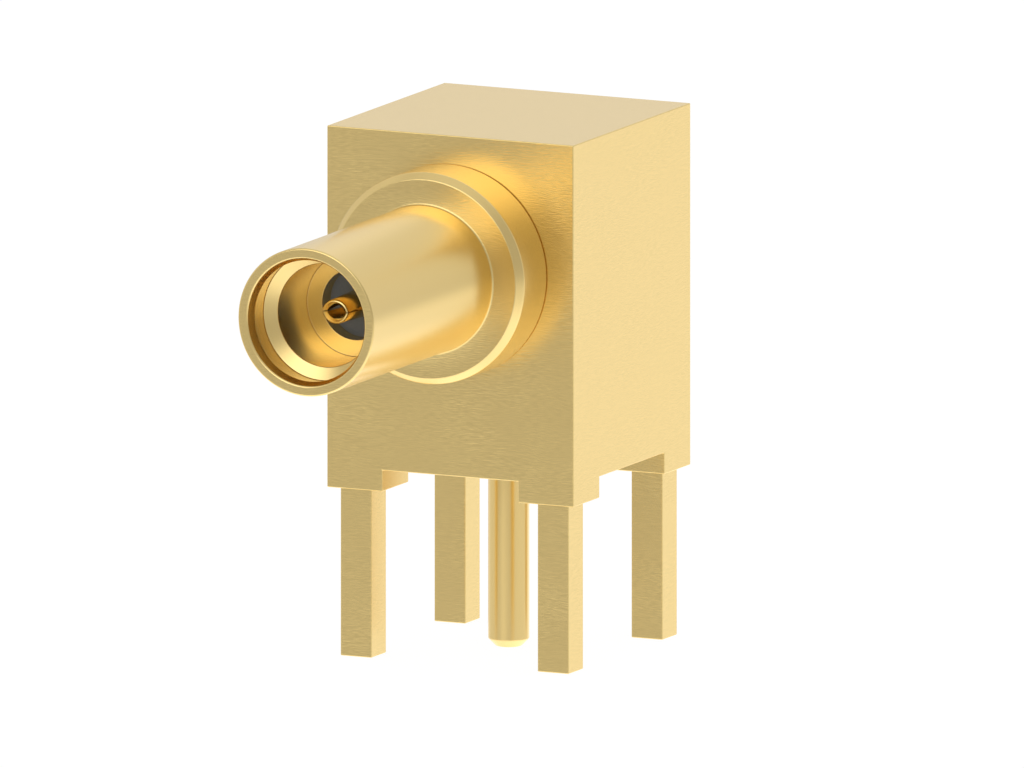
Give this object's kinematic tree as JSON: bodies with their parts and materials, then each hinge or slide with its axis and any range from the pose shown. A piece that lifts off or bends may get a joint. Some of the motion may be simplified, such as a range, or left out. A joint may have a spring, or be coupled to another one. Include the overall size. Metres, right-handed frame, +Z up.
{
  "type": "pcb coaxial jack",
  "caption": "Right-angle through-hole coaxial jack: a square plated block on corner feet, solder legs and a centre pin, with a collared barrel that takes a push-on plug.",
  "frame": {"origin": "centre of the round centre pin, on the plane where the four feet rest on the board", "axes": "+Z up from the board, -Y out of the barrel's mouth, +X to the right seen from the mouth's side with +Y away"},
  "size_m": [0.0064, 0.0142, 0.0126],
  "materials": {
    "milled_gold_plate": "gold plate over a milled and lightly brushed surface",
    "turned_gold_plate": "gold plate over a fine turned surface",
    "contact_gold_plate": "bright gold plate on the contact and the centre pin",
    "dielectric": "matt dark fluoropolymer"
  },
  "bodies": {
    "root": {"housing": "milled_gold_plate", "barrel": "turned_gold_plate", "front_insulator": "dielectric", "socket_contact": "contact_gold_plate", "tail_pin": "contact_gold_plate", "pin_insulator": "dielectric", "rear_cap": "milled_gold_plate"}
  },
  "joints": []
}
